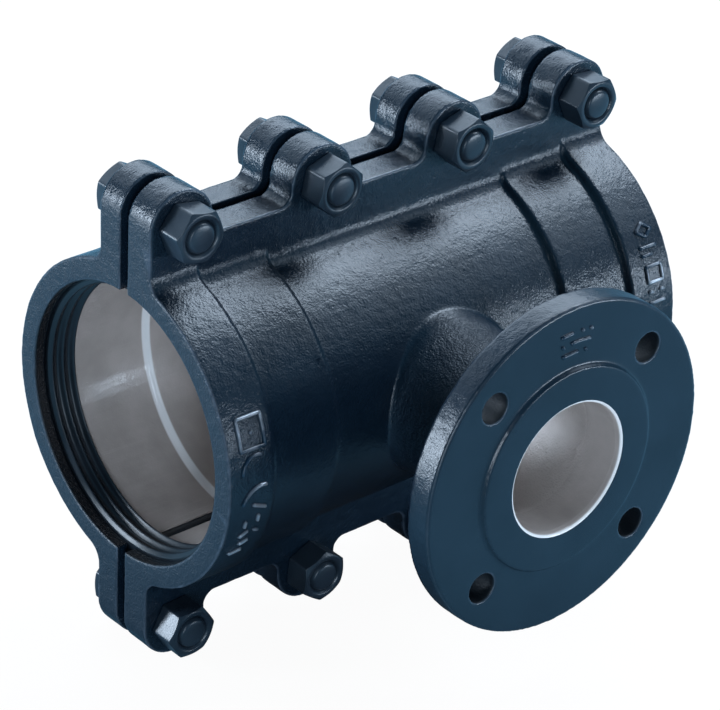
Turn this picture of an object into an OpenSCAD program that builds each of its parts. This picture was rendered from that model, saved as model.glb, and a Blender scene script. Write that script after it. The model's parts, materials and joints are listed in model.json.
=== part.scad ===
// Mechanical tee: a split cast sleeve bolts round a main pipe and gives it a
// flanged branch. Lengths are in millimetres. X runs along the main pipe, the
// branch points towards -Y, and Z is up through the two bolted rails. The
// origin is where the pipe's axis meets the branch's axis.

/* [Main pipe and bores] */
// Outside diameter of the pipe that the sleeve closes on
pipe_d = 169; // [162:1:176]
// Radial gap from the pipe to the middle bore
mid_clear = 1; // [0.5:0.25:1.5]
// Radial gap from the pipe to the bore beside the seals
band_clear = 3.5; // [2.5:0.25:4.5]
// Radial gap from the pipe to the mouth at each end
mouth_clear = 2; // [1:0.25:3]
// Length of the cone between the middle bore and the wider bore
bore_cone_l = 2.5; // [2:0.5:10]

/* [Sleeve] */
// Length of the thin middle of the sleeve
mid_l = 180; // [160:1:200]
// Length of each thicker band beside the middle
band_l = 50; // [40:1:60]
// Length of each end collar
collar_l = 35.5; // [32:0.5:45]
// Wall over the middle bore
mid_wall = 7; // [5:0.25:8]
// Wall over the wider bore
band_wall = 8.5; // [7:0.25:9.5]
// Wall over the seal groove
collar_wall = 7.5; // [6:0.25:10]
// Length of the sloped step between two outer diameters
step_run = 2; // [1:0.5:4]
// Gap between the two halves once bolted up
split_gap = 7; // [4:0.5:10]

/* [Bolting rails] */
// Thickness of the front half's rails
front_lug_t = 21; // [16:0.5:26]
// Thickness of the back half's rails
back_lug_t = 19; // [14:0.5:24]
// Height of the rails above the collars
strip_rise = 21; // [17:0.5:26]
// Height of the bolts above the collars
bolt_rise = 31; // [28:0.5:36]
// Radius of the boss round each bolt
boss_r = 22.5; // [20:0.5:26]
// Radius in the corner between rail and boss
strip_fillet = 8; // [3:0.5:10]
// Radius in the corner between rail and sleeve
body_fillet = 12; // [6:0.5:14]

/* [Branch] */
// Distance from the pipe's axis to the branch face
branch_reach = 191; // [175:1:220]
// Bore of the branch
branch_bore = 83; // [75:1:90]
// Rounding of the bore's edge at the branch face
bore_round = 2.5; // [1:0.25:4]
// Wall of the neck behind the flange
neck_wall = 5.5; // [4.5:0.25:9]
// Growth of the neck's radius down to its root
neck_draft = 1.5; // [1:0.5:2.5]
// Height of the neck's root above the sleeve
root_rise = 7.5; // [6:0.5:15]
// Growth of the neck's radius at the crown of the sleeve
saddle_flare = 3; // [3:0.5:5]
// Growth of the neck's radius at the flanks of the sleeve
toe_flare = 5.5; // [5.5:0.5:9]
// Radius in the corner between neck and flange
neck_fillet = 4; // [2:0.5:6]
// Outside diameter of the branch flange
flange_d = 211; // [200:1:225]
// Thickness of the flange behind its raised face
flange_t = 17; // [14:0.5:22]
// Diameter of the flange's bolt circle
bolt_circle_d = 168; // [160:1:175]
// Diameter of the flange's bolt holes
flange_hole_d = 19; // [15:0.5:22]
// Number of holes in the flange
flange_holes = 4; // [4:4:8]
// Diameter of the raised face
raised_d = 130; // [120:1:136]
// Height of the raised face
raised_h = 2.5; // [1:0.25:4]

/* [Fasteners] */
// Diameter of the bolts in the rails
bolt_d = 20; // [16:1:22]
// Extra diameter of the holes in the rails
hole_clear = 2; // [1:0.25:3]
// Width across the flats of bolt heads and nuts
nut_af = 30; // [28:0.5:34]
// Thickness of a nut
nut_h = 18; // [12:0.5:22]
// Thickness of a bolt head
head_h = 13.5; // [9:0.5:16]
// Length of bolt that shows past its nut
bolt_past_nut = 1.5; // [1:0.5:12]
// Radial gap between bolt and nut
thread_clear = 0.15; // [0.1:0.05:0.3]

/* [Seals] */
// Thickness of the end wall that holds each end seal in
mouth_wall = 8; // [5:0.5:10]
// Width of the seal groove
groove_w = 20; // [16:0.5:22]
// Depth of the seal groove outside the pipe
groove_depth = 9; // [7.5:0.25:11]
// Depth that the lips reach inside the pipe's surface
lip_squeeze = 2.5; // [1:0.25:3]
// Number of lips on each end seal
lip_count = 3; // [2:1:4]
// Width of each lip
lip_w = 4; // [3:0.25:5]
// Depth of the channels between the lips
lip_depth = 3.5; // [2:0.25:4.5]
// Bevel on the edges of the lips
lip_bevel = 1; // [0.3:0.1:1]
// Radial gap between an end seal and its groove
seal_clear = 0.3; // [0.2:0.05:0.5]
// Height of each seam seal below its key
seam_web_h = 5; // [3:0.5:8]
// Gap from the bores to the inner edge of the seam seals
seam_inset = 0.5; // [0.25:0.25:2]
// Height of the key on each seam seal
key_h = 8; // [5:0.5:12]
// Depth of the key in each half
key_depth = 2.5; // [1.5:0.25:4]

/* [Hidden] */
$fn = 128;

coat = "#20242b";
rubber = "#141414";
plated = "#2b2e33";

// Radii of the bores
pipe_r = pipe_d / 2;
mid_bore_r = pipe_r + mid_clear;
band_bore_r = pipe_r + band_clear;
mouth_r = pipe_r + mouth_clear;
groove_r = pipe_r + groove_depth;
lip_r = pipe_r - lip_squeeze;

// Radii of the outside
mid_r = mid_bore_r + mid_wall;
band_r = band_bore_r + band_wall;
collar_r = groove_r + collar_wall;

// Stations along the pipe, counted from the middle
band_start = mid_l / 2;
band_end = band_start + band_l;
sleeve_end = band_end + collar_l;
sleeve_l = 2 * sleeve_end;
cone_start = band_start + step_run / 2;
groove_out = sleeve_end - mouth_wall;
groove_in = groove_out - groove_w;

// Rails and bolts
bolts_per_side = 4;
strip_z = collar_r + strip_rise;
bolt_z = collar_r + bolt_rise;
bolt_x_end = sleeve_end - boss_r;
bolt_pitch = 2 * bolt_x_end / (bolts_per_side - 1);
bolt_x = [for (i = [0 : bolts_per_side - 1]) i * bolt_pitch - bolt_x_end];
corner_r = min(strip_fillet, bolt_rise - strip_rise);
half_gap = split_gap / 2;
front_face = half_gap + front_lug_t;
back_face = half_gap + back_lug_t;
head_turn = 30;
crown_inset = 0.75;
bevel_angle = 30;
end_bevel = 1;
// Turn that keeps the seam of the bevel's cone off the corners
seam_turn = 15;
nut_turn_top = [50, 18, 17, 55];
nut_turn_bottom = [3, 25, 40, 10];

// Branch
bore_r = branch_bore / 2;
neck_r = bore_r + neck_wall;
root_r = neck_r + neck_draft;
saddle_r = neck_r + saddle_flare;
toe_r = neck_r + toe_flare;
toe_reach = sqrt(mid_r * mid_r - toe_r * toe_r);
flange_front = branch_reach - raised_h;
flange_back = flange_front - flange_t;

// Seam seals
key_low = band_bore_r + seam_web_h;
key_top = key_low + key_h;

// Length by which a cut runs past the face it leaves
past = 2;

// Turns what is drawn along Z to lie along the pipe
module along_pipe() {
    rotate([0, 90, 0]) children();
}

// Turns what is drawn along Z to lie along the branch
module along_branch() {
    rotate([90, 0, 0]) children();
}

// Mirrors the [radius, station] points of one end to give both ends
function both_ends(half) = concat(
    [for (i = [len(half) - 1 : -1 : 0]) [half[i][0], -half[i][1]]], half);

// The outside of the sleeve as a solid of revolution
module sleeve_outside() {
    half = [[mid_r, band_start], [band_r, band_start + step_run],
        [band_r, band_end], [collar_r, band_end + step_run],
        [collar_r, sleeve_end], [0, sleeve_end]];
    along_pipe() rotate_extrude() polygon(both_ends(half));
}

// The space that the pipe and the end seals fill
module main_bore() {
    half = [[mid_bore_r, cone_start], [band_bore_r, cone_start + bore_cone_l],
        [band_bore_r, groove_in], [groove_r, groove_in],
        [groove_r, groove_out], [mouth_r, groove_out],
        [mouth_r, sleeve_end + past], [0, sleeve_end + past]];
    along_pipe() rotate_extrude() polygon(both_ends(half));
}

// Side view of the rails: two straight strips with a round boss at each bolt
module rail_outline() {
    square([sleeve_l, 2 * strip_z], center = true);
    for (x = bolt_x) {
        translate([x, 0]) square([2 * boss_r, 2 * bolt_z], center = true);
        for (side = [-1, 1])
            translate([x, side * bolt_z]) circle(boss_r);
    }
    for (i = [0 : bolts_per_side - 2], side = [0, 1])
        mirror([0, side]) {
            boss_corner(bolt_x[i] + boss_r, 1);
            boss_corner(bolt_x[i + 1] - boss_r, -1);
        }
}

// Rounded inside corner between the strip and the side of a boss at x
module boss_corner(x, way) {
    translate([x, strip_z]) mirror([(1 - way) / 2, 0]) difference() {
        translate([-past, -past]) square(corner_r + past);
        translate([corner_r, corner_r]) circle(corner_r);
    }
}

// Section of the rounded corner between a rail's face and a wall of outer_r
module body_corner(outer_r, face) {
    reach = face + body_fillet;
    rise = sqrt(pow(outer_r + body_fillet, 2) - pow(reach, 2));
    inner_r = outer_r - past;
    inward = inner_r / (outer_r + body_fillet);
    difference() {
        polygon([[face - past, rise], [reach, rise], [reach * inward, rise * inward],
            [face - past, sqrt(pow(inner_r, 2) - pow(face, 2))]]);
        translate([reach, rise]) circle(body_fillet);
    }
}

// Rounded corners along both rails, larger where the sleeve is thicker
module body_corners(face) {
    for (stretch = [[0, mid_r], [band_start + step_run, band_r], [band_end + step_run, collar_r]])
        for (end = [0, 1], side = [0, 1])
            mirror([end, 0, 0]) mirror([0, 0, side])
                translate([stretch[0], 0, 0]) rotate([90, 0, 90])
                    linear_extrude(sleeve_end - stretch[0]) body_corner(stretch[1], face);
}

// One half of the sleeve before it is bored, on the +Y side
module half_blank(lug_t) {
    intersection() {
        sleeve_outside();
        translate([-sleeve_end - past, half_gap, -collar_r - past])
            cube([sleeve_l + 2 * past, collar_r + past, 2 * (collar_r + past)]);
    }
    translate([0, half_gap + lug_t, 0]) along_branch() linear_extrude(lug_t) rail_outline();
    body_corners(half_gap + lug_t);
}

// Places its children at each bolt, turned to lie along the branch
module at_bolts() {
    for (x = bolt_x, side = [-1, 1])
        translate([x, 0, side * bolt_z]) along_branch() children();
}

// What both halves have taken out: bores, bolt holes and the seam keys' grooves
module half_cuts() {
    main_bore();
    at_bolts() translate([0, 0, -back_face - past])
        cylinder(r = (bolt_d + hole_clear) / 2, h = back_face + front_face + 2 * past);
    seam_keys();
}

// The neck and flange, as drawn from the branch's axis outwards
module branch_outside() {
    start = sqrt(mid_bore_r * mid_bore_r - toe_r * toe_r) - past;
    along_branch() rotate_extrude() {
        polygon([[0, start], [toe_r, start], [toe_r, toe_reach], [saddle_r, mid_r],
            [root_r, mid_r + root_rise], [neck_r, flange_back - neck_fillet],
            [neck_r, flange_back], [flange_d / 2, flange_back], [flange_d / 2, flange_front],
            [raised_d / 2, flange_front], [raised_d / 2, branch_reach], [0, branch_reach]]);
        difference() {
            translate([neck_r - past, flange_back - neck_fillet]) square([neck_fillet + past, neck_fillet]);
            translate([neck_r + neck_fillet, flange_back - neck_fillet]) circle(neck_fillet);
        }
    }
}

// The branch's bore with its rounded edge, and the holes of the flange
module branch_cuts() {
    edge = branch_reach - bore_round;
    along_branch() {
        rotate_extrude() {
            square([bore_r, branch_reach + past]);
            difference() {
                translate([0, edge]) square([bore_r + bore_round, bore_round + past]);
                translate([bore_r + bore_round, edge]) circle(bore_round);
                translate([bore_r + bore_round, edge]) square([bore_round, bore_round + 2 * past]);
            }
        }
        for (i = [0 : flange_holes - 1])
            rotate((i + 0.5) * 360 / flange_holes)
                translate([bolt_circle_d / 2, 0, flange_back - past])
                    cylinder(d = flange_hole_d, h = flange_t + 2 * past);
    }
}

module front_shell() {
    color(coat) difference() {
        union() {
            mirror([0, 1, 0]) half_blank(front_lug_t);
            branch_outside();
        }
        half_cuts();
        branch_cuts();
    }
}

module back_shell() {
    color(coat) difference() {
        half_blank(back_lug_t);
        half_cuts();
    }
}

// A six-sided block of height h, its corners bevelled at the top and,
// for a nut, at the foot
module hex_block(h, bevel_foot) {
    corner = nut_af / 2 / cos(30);
    crown = nut_af / 2 - crown_inset;
    reach = corner + past;
    bevel = (reach - crown) * tan(bevel_angle);
    intersection() {
        cylinder(r = corner, h = h, $fn = 6);
        rotate(seam_turn) rotate_extrude() polygon([[0, 0], [bevel_foot ? crown : reach, 0],
            [reach, bevel_foot ? bevel : 0], [reach, h - bevel], [crown, h], [0, h]]);
    }
}

// A bolt from its head behind the back rail to its bevelled end
module bolt() {
    shank = back_face + front_face + nut_h + bolt_past_nut;
    bevel = min(end_bevel, bolt_past_nut);
    along_branch() translate([0, 0, -back_face]) {
        rotate([180, 0, head_turn]) hex_block(head_h, false);
        rotate_extrude() polygon([[0, -past], [bolt_d / 2, -past], [bolt_d / 2, shank - bevel],
            [bolt_d / 2 - bevel, shank], [0, shank]]);
    }
}

// A nut on the front rail
module nut(turn) {
    along_branch() translate([0, 0, front_face]) difference() {
        rotate(turn) hex_block(nut_h, true);
        translate([0, 0, -past]) cylinder(r = bolt_d / 2 + thread_clear, h = nut_h + 2 * past);
    }
}

module bolt_top(n) {
    color(plated) translate([bolt_x[n - 1], 0, bolt_z]) bolt();
}

module bolt_bottom(n) {
    color(plated) translate([bolt_x[n - 1], 0, -bolt_z]) bolt();
}

module nut_top(n) {
    color(plated) translate([bolt_x[n - 1], 0, bolt_z]) nut(nut_turn_top[n - 1]);
}

module nut_bottom(n) {
    color(plated) translate([bolt_x[n - 1], 0, -bolt_z]) nut(nut_turn_bottom[n - 1]);
}

// Half of an end seal: a rubber ring with bevelled lips that grip the pipe.
// end is -1 for the left seal and 1 for the right; way is -1 for the front.
module end_seal(end, way) {
    lip_pitch = (groove_w - lip_w) / (lip_count - 1);
    valley_r = lip_r + lip_depth;
    lip = [[valley_r, 0], [lip_r + lip_bevel, 0], [lip_r, lip_bevel], [lip_r, lip_w - lip_bevel],
        [lip_r + lip_bevel, lip_w], [valley_r, lip_w]];
    lips = [for (i = [0 : lip_count - 1], point = lip) point + [0, i * lip_pitch]];
    outer = groove_r - seal_clear;
    color(rubber) intersection() {
        along_pipe() translate([0, 0, end > 0 ? groove_in : -groove_out])
            rotate_extrude() polygon(concat(lips, [[outer, groove_w], [outer, 0]]));
        translate([-sleeve_end, way > 0 ? 0 : -groove_r, -groove_r])
            cube([sleeve_l, groove_r, 2 * groove_r]);
    }
}

module end_seal_left_front() {
    end_seal(-1, -1);
}

module end_seal_left_back() {
    end_seal(-1, 1);
}

module end_seal_right_front() {
    end_seal(1, -1);
}

module end_seal_right_back() {
    end_seal(1, 1);
}

// The keys along both seams that lock the seam seals into the halves
module seam_key() {
    translate([-groove_in, -half_gap - key_depth, key_low])
        cube([2 * groove_in, split_gap + 2 * key_depth, key_h]);
}

module seam_keys() {
    seam_key();
    mirror([0, 0, 1]) seam_key();
}

// A rubber strip that fills the gap of one seam between the end seals
module seam_seal() {
    inner = [[mid_bore_r + seam_inset, cone_start],
        [band_bore_r + seam_inset, cone_start + bore_cone_l],
        [band_bore_r + seam_inset, groove_in], [key_top, groove_in]];
    outline = [for (point = both_ends(inner)) [point[1], point[0]]];
    color(rubber) union() {
        translate([0, half_gap, 0]) along_branch() linear_extrude(split_gap) polygon(outline);
        seam_key();
    }
}

module seam_seal_top() {
    seam_seal();
}

module seam_seal_bottom() {
    mirror([0, 0, 1]) seam_seal();
}

front_shell();
back_shell();
bolt_top(1);  // bolt_top_1
bolt_top(2);  // bolt_top_2
bolt_top(3);  // bolt_top_3
bolt_top(4);  // bolt_top_4
bolt_bottom(1);  // bolt_bottom_1
bolt_bottom(2);  // bolt_bottom_2
bolt_bottom(3);  // bolt_bottom_3
bolt_bottom(4);  // bolt_bottom_4
nut_top(1);  // nut_top_1
nut_top(2);  // nut_top_2
nut_top(3);  // nut_top_3
nut_top(4);  // nut_top_4
nut_bottom(1);  // nut_bottom_1
nut_bottom(2);  // nut_bottom_2
nut_bottom(3);  // nut_bottom_3
nut_bottom(4);  // nut_bottom_4
end_seal_left_front();
end_seal_left_back();
end_seal_right_front();
end_seal_right_back();
seam_seal_top();
seam_seal_bottom();
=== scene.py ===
# %% [markdown]
# # A split tee for an iron water main
# This part is a cast sleeve in two halves. They bolt round a main pipe, and
# the front half carries a flanged branch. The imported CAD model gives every
# size and place. This notebook gives it its looks: soft cast edges, a
# sandy dip-coated skin, a pale lining, rubber seals and coated fasteners.

import json
import math

import bmesh
import bpy
import numpy as np
from mathutils import Matrix, Vector


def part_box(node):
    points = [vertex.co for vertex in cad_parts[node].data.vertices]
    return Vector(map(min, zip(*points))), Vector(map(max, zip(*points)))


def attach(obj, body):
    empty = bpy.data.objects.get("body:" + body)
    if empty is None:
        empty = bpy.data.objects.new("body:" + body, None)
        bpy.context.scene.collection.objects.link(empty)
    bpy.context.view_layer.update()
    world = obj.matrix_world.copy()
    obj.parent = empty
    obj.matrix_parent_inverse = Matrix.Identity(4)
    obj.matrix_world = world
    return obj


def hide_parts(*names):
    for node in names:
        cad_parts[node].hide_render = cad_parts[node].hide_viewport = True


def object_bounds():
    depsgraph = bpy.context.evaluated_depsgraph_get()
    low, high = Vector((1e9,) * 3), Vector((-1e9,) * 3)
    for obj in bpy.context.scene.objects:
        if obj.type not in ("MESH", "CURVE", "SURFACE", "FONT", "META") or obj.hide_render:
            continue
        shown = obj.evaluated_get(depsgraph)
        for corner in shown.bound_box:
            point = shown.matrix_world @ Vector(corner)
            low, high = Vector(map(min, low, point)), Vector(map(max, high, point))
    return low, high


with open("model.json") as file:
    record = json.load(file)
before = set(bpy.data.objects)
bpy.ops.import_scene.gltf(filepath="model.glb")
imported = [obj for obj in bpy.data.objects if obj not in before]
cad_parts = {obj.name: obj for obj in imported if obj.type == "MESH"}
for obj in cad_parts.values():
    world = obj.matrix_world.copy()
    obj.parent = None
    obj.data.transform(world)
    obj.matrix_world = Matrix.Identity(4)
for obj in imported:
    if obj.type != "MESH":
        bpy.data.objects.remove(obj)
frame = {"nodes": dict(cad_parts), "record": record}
nodes = frame["nodes"]
cad_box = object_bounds()
MM = 0.001
print("CAD nodes:", len(nodes), "box:", [[round(v, 4) for v in corner] for corner in cad_box])

# %% [markdown]
# ## The sizes this scene needs
# Nothing is measured twice. The mounts in the record give the bores and the
# flange, and each node's box gives the ends, so that a changed model still
# gets its finish in the right places. The few sizes that neither of them
# tells are written here once, in millimetres.

# %% Sizes read from the model
mounts = {m["name"]: m for m in frame["record"]["mounts"]}
lip_r = mounts["run_clamp"]["dims"]["r_mm"] * MM
bore_r = mounts["branch_bore"]["dims"]["r_mm"] * MM
flange_hole_r = mounts["branch_bolts"]["dims"]["hole_r_mm"] * MM
bolt_circle_r = mounts["branch_bolts"]["dims"]["pcd_mm"] * MM / 2
shell_low, shell_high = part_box("front_shell")
sleeve_end = shell_high.x
branch_reach = -shell_low.y
collar_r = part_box("back_shell")[1].y
seal_outer_r = -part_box("end_seal_left_front")[0].y
neck_wall, raised_h, flange_t = 5.5 * MM, 2.5 * MM, 17 * MM
neck_r = bore_r + neck_wall
face_reach = branch_reach - raised_h
flange_back = face_reach - flange_t
flange_r, raised_r = 105.5 * MM, 65 * MM
mid_r, band_start, band_end = 92.5 * MM, 90 * MM, 140 * MM
lining_r, lining_half = 89.8 * MM, 147.5 * MM
mouth_start, mouth_r = 167.6 * MM, 87.2 * MM
flats = 30 * MM
lip_depth = 3.5 * MM
print(f"sleeve {2 * sleeve_end:.4f} m long, collars {2 * collar_r:.4f} m, reach {branch_reach:.4f} m")

# %% [markdown]
# ## Helpers
# The calls that come back in every step get a short name here. `new_object`
# puts data in the scene at the origin, where every finished piece has to
# sit. `calculator` gives a function that adds one sum to a node tree, so
# that a chain of Math nodes reads like arithmetic.

# %% Helpers for objects and node trees
def new_object(name, data):
    """An object in the scene, at the origin."""
    obj = bpy.data.objects.new(name, data)
    bpy.context.scene.collection.objects.link(obj)
    return obj


def calculator(tree):
    """A function that adds one Math node to the tree. Its values are numbers or sockets."""
    def combine(operation, first, second=0, third=0):
        node = tree.nodes.new("ShaderNodeMath")
        node.operation = operation
        for socket, value in zip(node.inputs, (first, second, third)):
            if isinstance(value, (int, float)):
                socket.default_value = value
            else:
                tree.links.new(value, socket)
        return node.outputs[0]
    return combine


# %% [markdown]
# ## The camera
# The camera looks from the front left and from above, through a long lens
# that keeps the flange and the rails nearly parallel. Its place is worked
# out from two angles, a small roll and a distance.

# %% Camera
azimuth, elevation, roll = (math.radians(a) for a in (-41.78, 29.29, 2.8957))
distance, shift_right, shift_up = 1.96821, 0.00441, -0.01046
back = Vector((math.sin(azimuth) * math.cos(elevation),
               -math.cos(azimuth) * math.cos(elevation), math.sin(elevation)))
level_right = Vector((0, 0, 1)).cross(back).normalized()
level_up = back.cross(level_right)
right = level_right * math.cos(roll) + level_up * math.sin(roll)
up = level_up * math.cos(roll) - level_right * math.sin(roll)
camera_data = bpy.data.cameras.new("studio_camera")
camera_data.sensor_width = 36
camera_data.lens = 161.144
camera = new_object("studio_camera", camera_data)
turn = Matrix((right, up, back)).transposed().to_4x4()
camera.matrix_world = Matrix.Translation(right * shift_right + up * shift_up + back * distance) @ turn
bpy.context.scene.camera = camera
bpy.context.scene.view_settings.view_transform = "Standard"
print("camera at", [round(v, 3) for v in camera.location], "lens", camera_data.lens)

# %% [markdown]
# ## Floor and world
# A product picture wants a clean pale ground. The floor is pale, and a Light
# Path node makes it plain white to the camera. Reflections see the ground
# as a cool table instead: a near-black glossy coat takes much of its blue
# from what it mirrors. The glow that reflections see fades out right under
# the part: a painted shadow on the table. A part of the floor stays matt, so
# it keeps the shadow.

# %% Floor and world
def rays_seeing(tree, white, reflected, spread=1.0):
    """A strength for plain ground: white to the camera, another in reflections, times its spread."""
    combine = calculator(tree)
    path = tree.nodes.new("ShaderNodeLightPath").outputs
    seen = combine("MULTIPLY", combine("MAXIMUM", path["Is Camera Ray"], path["Is Transmission Ray"]), white)
    mirrored = combine("MULTIPLY", combine("MULTIPLY", path["Is Glossy Ray"], reflected), spread)
    return combine("MAXIMUM", seen, mirrored)


def ground_colour(tree, cool):
    """White, but cool in reflections."""
    path, mix = tree.nodes.new("ShaderNodeLightPath"), tree.nodes.new("ShaderNodeMix")
    mix.data_type = "RGBA"
    tree.links.new(path.outputs["Is Glossy Ray"], mix.inputs["Factor"])
    mix.inputs[6].default_value, mix.inputs[7].default_value = (1, 1, 1, 1), (*cool, 1)
    return mix.outputs[2]


def make_world(ambient, reflected, cool):
    """Plain ground all round, which hardly lights the part."""
    world = bpy.data.worlds.new("studio_world")
    world.use_nodes = True
    tree = world.node_tree
    tree.nodes.clear()
    ground, out = (tree.nodes.new("ShaderNode" + kind) for kind in ("Background", "OutputWorld"))
    strength = calculator(tree)("MAXIMUM", rays_seeing(tree, 1.0, reflected), ambient)
    tree.links.new(strength, ground.inputs["Strength"])
    tree.links.new(ground_colour(tree, cool), ground.inputs["Color"])
    tree.links.new(ground.outputs[0], out.inputs["Surface"])
    bpy.context.scene.world = world


def open_ground(tree, shade_r, open_r):
    """0 on the table right under the part, and 1 out in the open; it paints the shadow under the part."""
    place, length = tree.nodes.new("ShaderNodeTexCoord"), tree.nodes.new("ShaderNodeVectorMath")
    length.operation = "LENGTH"
    tree.links.new(place.outputs["Object"], length.inputs[0])
    rise = tree.nodes.new("ShaderNodeMapRange")
    rise.interpolation_type = "SMOOTHSTEP"
    rise.inputs["From Min"].default_value = shade_r
    rise.inputs["From Max"].default_value = open_r
    tree.links.new(length.outputs["Value"], rise.inputs["Value"])
    return rise.outputs["Result"]


def floor_material(paleness, white, plain_share, reflected, cool):
    """Matt white, of which plain_share is shown plainly to the rays that see the ground."""
    material = bpy.data.materials.new("floor_white")
    material.use_nodes = True
    tree = material.node_tree
    tree.nodes.clear()
    matt, glow, mix, out = (tree.nodes.new("ShaderNode" + kind)
                            for kind in ("BsdfDiffuse", "Emission", "MixShader", "OutputMaterial"))
    matt.inputs["Color"].default_value = (paleness, paleness, paleness, 1)
    # The reflected glow fades out under the part: a painted shadow on the table.
    open_share = open_ground(tree, shade_r=170 * MM, open_r=360 * MM)
    tree.links.new(rays_seeing(tree, white, reflected, open_share), glow.inputs["Strength"])
    tree.links.new(ground_colour(tree, cool), glow.inputs["Color"])
    share = calculator(tree)("MULTIPLY", rays_seeing(tree, 1.0, 1.0), plain_share)
    for source, socket in ((share, mix.inputs["Fac"]), (matt.outputs[0], mix.inputs[1]),
                           (glow.outputs[0], mix.inputs[2]), (mix.outputs[0], out.inputs["Surface"])):
        tree.links.new(source, socket)
    return material


def make_floor(material, half=6.0):
    """A large square just under the part."""
    mesh = bpy.data.meshes.new("floor")
    level = cad_box[0][2] - 0.5 * MM
    corners = [(-half, -half, level), (half, -half, level), (half, half, level), (-half, half, level)]
    mesh.from_pydata(corners, [], [(0, 1, 2, 3)])
    mesh.materials.append(material)
    new_object("floor", mesh)


sheen_of_table = (0.20, 0.62, 1.0)
make_world(ambient=0.04, reflected=0.3, cool=sheen_of_table)
make_floor(floor_material(paleness=0.6, white=1.06, plain_share=0.9, reflected=0.92, cool=sheen_of_table))
print("floor and world made")

# %% [markdown]
# ## Lamps for a glossy dark coat
# Black gloss shows its form only by what it reflects. Each lamp is a soft
# panel, placed where one kind of face throws it back to the camera: the key
# draws the long highlight on the sleeve and the fill softens its edge, a low
# strip at the front right lights the nuts' flats and the inside of the bore,
# a slim tall one at the front left draws the edges, the low one behind on
# the left edges the flange's rim, and the two wide ones behind grey the tops
# of the lugs. All are a little cool.

# %% Lamps
def towards(azimuth, elevation, distance):
    """A place that far off: azimuth 0 is in front of the branch, 90 is to its right."""
    a, e = math.radians(azimuth), math.radians(elevation)
    return Vector((math.sin(a) * math.cos(e), -math.cos(a) * math.cos(e), math.sin(e))) * distance


def add_panel(name, azimuth, elevation, distance, size, radiance, colour=(1, 1, 1)):
    """A soft panel that faces the part. Its power follows from its brightness and size."""
    data = bpy.data.lights.new(name, "AREA")
    data.shape = "RECTANGLE"
    data.size, data.size_y = size
    data.energy = radiance * math.pi * size[0] * size[1]
    data.color = colour
    panel = new_object(name, data)
    panel.location = towards(azimuth, elevation, distance)
    panel.rotation_euler = (-panel.location).to_track_quat("-Z", "Y").to_euler()
    print(f"{name}: {data.energy:.1f} W")


cool = (0.70, 0.84, 1.0)
add_panel("key", 94, 53, 2.0, (1.1, 0.85), 13, cool)
add_panel("fill", 60, 36, 2.0, (1.0, 0.7), 2.4, cool)
add_panel("front_right", 33, 4, 1.6, (0.85, 0.13), 32, cool)
add_panel("front_left", -39, 11, 1.8, (0.2, 0.9), 20, cool)
add_panel("left_back", -123, 8, 2.0, (0.5, 0.9), 30, cool)
add_panel("right_back", 149, 38, 2.0, (1.8, 1.1), 4.8, cool)
add_panel("back", -160, 42, 2.0, (1.2, 0.9), 1.9, cool)

# %% [markdown]
# ## Casting the two halves
# A sand casting has no sharp edge on it: every corner was rounded by the
# mould, and the coat fills the hollows a little more. Bevelling the CAD mesh
# edge by edge would be slow and would fail where many faces meet. Instead
# each half is copied, rebuilt as an even skin of tiny squares (a voxel
# remesh), and then relaxed: moving each point towards the middle of its
# neighbours rounds the ridges and fills the corners, as the mould does. How
# far a point may relax depends on where it lies, because the flange face and
# the bores were machined after casting and stay crisp. Four places relax
# more: the corner at the foot of the neck, the round edges of the flange and
# of its raised face, and the steps of the collars, where the squares of the
# skin would otherwise leave a dashed line.
#
# The coat draws back from every ridge as it dries. How proud a point stands
# over its neighbours is kept with it as the value "ridge", and the material
# paints the ridges paler there: a thinner coat, and a painted highlight along
# the edges.

# %% Helpers for meshes
def keep_mesh(obj):
    """Turns an object's evaluated result into a plain mesh with no modifiers."""
    evaluated = obj.evaluated_get(bpy.context.evaluated_depsgraph_get())
    mesh = bpy.data.meshes.new_from_object(evaluated)
    obj.modifiers.clear()
    obj.data = mesh
    return obj


def merged_copy(name, node_name):
    """An object from a CAD node's mesh, with its loose triangles joined."""
    work = bmesh.new()
    work.from_mesh(nodes[node_name].data)
    bmesh.ops.remove_doubles(work, verts=work.verts, dist=0.002 * MM)
    mesh = bpy.data.meshes.new(name)
    work.to_mesh(mesh)
    work.free()
    return new_object(name, mesh)


def points_of(mesh, what="co"):
    """The mesh's points, or with "normal" their normals, as an array of triples."""
    values = np.empty(len(mesh.vertices) * 3)
    mesh.vertices.foreach_get(what, values)
    return values.reshape(-1, 3)


def move_points(mesh, points):
    mesh.vertices.foreach_set("co", points.ravel())
    mesh.update()


def edges_of(mesh):
    """The two points of every edge."""
    ends = np.empty(len(mesh.edges) * 2, np.int64)
    mesh.edges.foreach_get("vertices", ends)
    return ends.reshape(-1, 2)


def keep_value(mesh, name, values):
    """Stores one number for each point, which a material or a tree can read by that name."""
    kept = mesh.attributes.new(name, "FLOAT", "POINT")
    kept.data.foreach_set("value", np.asarray(values, np.float32))


def smooth(mesh):
    mesh.polygons.foreach_set("use_smooth", [True] * len(mesh.polygons))


def between_rings(rings, sides):
    """The faces that join each ring of points to the next one."""
    faces = []
    for first in range(0, (rings - 1) * sides, sides):
        for k in range(sides):
            after = (k + 1) % sides
            faces.append((first + k, first + after, first + sides + after, first + sides + k))
    return faces


def closed_piece(name, points, faces, merge=False):
    """An object whose faces all point outwards; merge joins double points and fills the ends."""
    mesh = bpy.data.meshes.new(name)
    mesh.from_pydata(points, [], faces)
    work = bmesh.new()
    work.from_mesh(mesh)
    if merge:
        bmesh.ops.remove_doubles(work, verts=work.verts, dist=0.001 * MM)
        bmesh.ops.holes_fill(work, edges=[e for e in work.edges if e.is_boundary], sides=0)
    bmesh.ops.recalc_face_normals(work, faces=work.faces)
    work.to_mesh(mesh)
    work.free()
    return new_object(name, mesh)


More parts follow.
